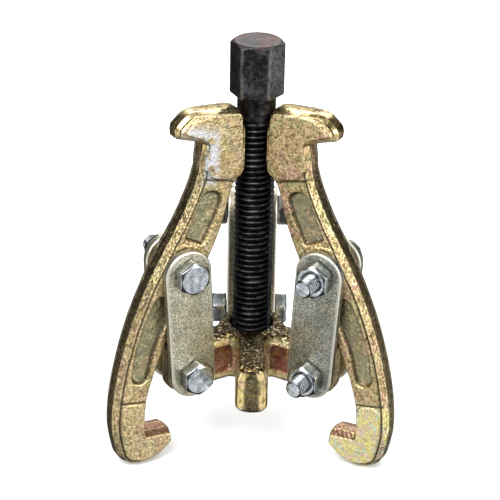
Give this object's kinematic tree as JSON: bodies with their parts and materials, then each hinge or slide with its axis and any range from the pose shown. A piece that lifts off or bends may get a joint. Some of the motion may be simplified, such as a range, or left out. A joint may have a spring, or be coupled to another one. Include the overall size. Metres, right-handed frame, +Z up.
{
  "type": "three-jaw gear puller",
  "caption": "Reversible external gear puller: hooked jaws hung on bolted link plates from a threaded yoke, with a hexagon-headed forcing screw and live centre point",
  "frame": {"origin": "on the forcing screw's axis, level with the soles of the claws it stands on", "axes": "+Z up along the forcing screw towards its hexagon; arms at 90 (back), 210 (left) and 330 (right) degrees from +X; the yoke's unused fourth lug points along -Y, towards the viewer"},
  "size_m": [0.0952, 0.0851, 0.1385],
  "materials": {
    "forging": "yellow zinc-plated forged steel, semi-gloss",
    "plate": "dull olive zinc-plated steel plate",
    "hardware": "bright zinc-plated steel",
    "screw": "black-oxide hardened steel, lightly oiled",
    "point": "bare hardened steel"
  },
  "bodies": {
    "yoke": {"yoke": "forging"},
    "centre_point": {"centre_point": "point"},
    "forcing_screw": {"forcing_screw": "screw"},
    "link_left": {"link_plate_left_head_side": "plate", "link_plate_left_nut_side": "plate", "pivot_bolt_left_lower": "hardware", "pivot_nut_left_lower": "hardware", "pivot_bolt_left_upper": "hardware", "pivot_nut_left_upper": "hardware"},
    "jaw_left": {"jaw_left": "forging"},
    "link_right": {"link_plate_right_head_side": "plate", "link_plate_right_nut_side": "plate", "pivot_bolt_right_lower": "hardware", "pivot_nut_right_lower": "hardware", "pivot_bolt_right_upper": "hardware", "pivot_nut_right_upper": "hardware"},
    "jaw_right": {"jaw_right": "forging"},
    "link_back": {"link_plate_back_head_side": "plate", "link_plate_back_nut_side": "plate", "pivot_bolt_back_lower": "hardware", "pivot_nut_back_lower": "hardware", "pivot_bolt_back_upper": "hardware", "pivot_nut_back_upper": "hardware"},
    "jaw_back": {"jaw_back": "forging"}
  },
  "joints": [
    {"name": "screw_feed", "type": "slide", "parent": "yoke", "child": "centre_point", "axis": [0, 0, -1], "range_m": [-0.01, 0.0024]},
    {"name": "screw_spin", "type": "hinge", "parent": "centre_point", "child": "forcing_screw", "pos_m": [0, 0, 0.03], "axis": [0, 0, -1], "range_deg": [-1843, 443]},
    {"name": "link_swing_left", "type": "hinge", "parent": "yoke", "child": "link_left", "pos_m": [-0.02252, -0.013, 0.0312], "axis": [0.5, -0.866, 0], "range_deg": [0, 45]},
    {"name": "jaw_pivot_left", "type": "hinge", "parent": "link_left", "child": "jaw_left", "pos_m": [-0.02424, -0.014, 0.06795], "axis": [0.5, -0.866, 0], "range_deg": [0, 4]},
    {"name": "link_swing_right", "type": "hinge", "parent": "yoke", "child": "link_right", "pos_m": [0.02252, -0.013, 0.0312], "axis": [0.5, 0.866, 0], "range_deg": [0, 45]},
    {"name": "jaw_pivot_right", "type": "hinge", "parent": "link_right", "child": "jaw_right", "pos_m": [0.02424, -0.014, 0.06795], "axis": [0.5, 0.866, 0], "range_deg": [0, 4]},
    {"name": "link_swing_back", "type": "hinge", "parent": "yoke", "child": "link_back", "pos_m": [0, 0.026, 0.0312], "axis": [-1, 0, 0], "range_deg": [0, 45]},
    {"name": "jaw_pivot_back", "type": "hinge", "parent": "link_back", "child": "jaw_back", "pos_m": [0, 0.02799, 0.06795], "axis": [-1, 0, 0], "range_deg": [0, 4]}
  ],
  "couplings": [
    {"joint": "screw_spin", "follows": "screw_feed", "rad_per_m": 3215.6}
  ]
}
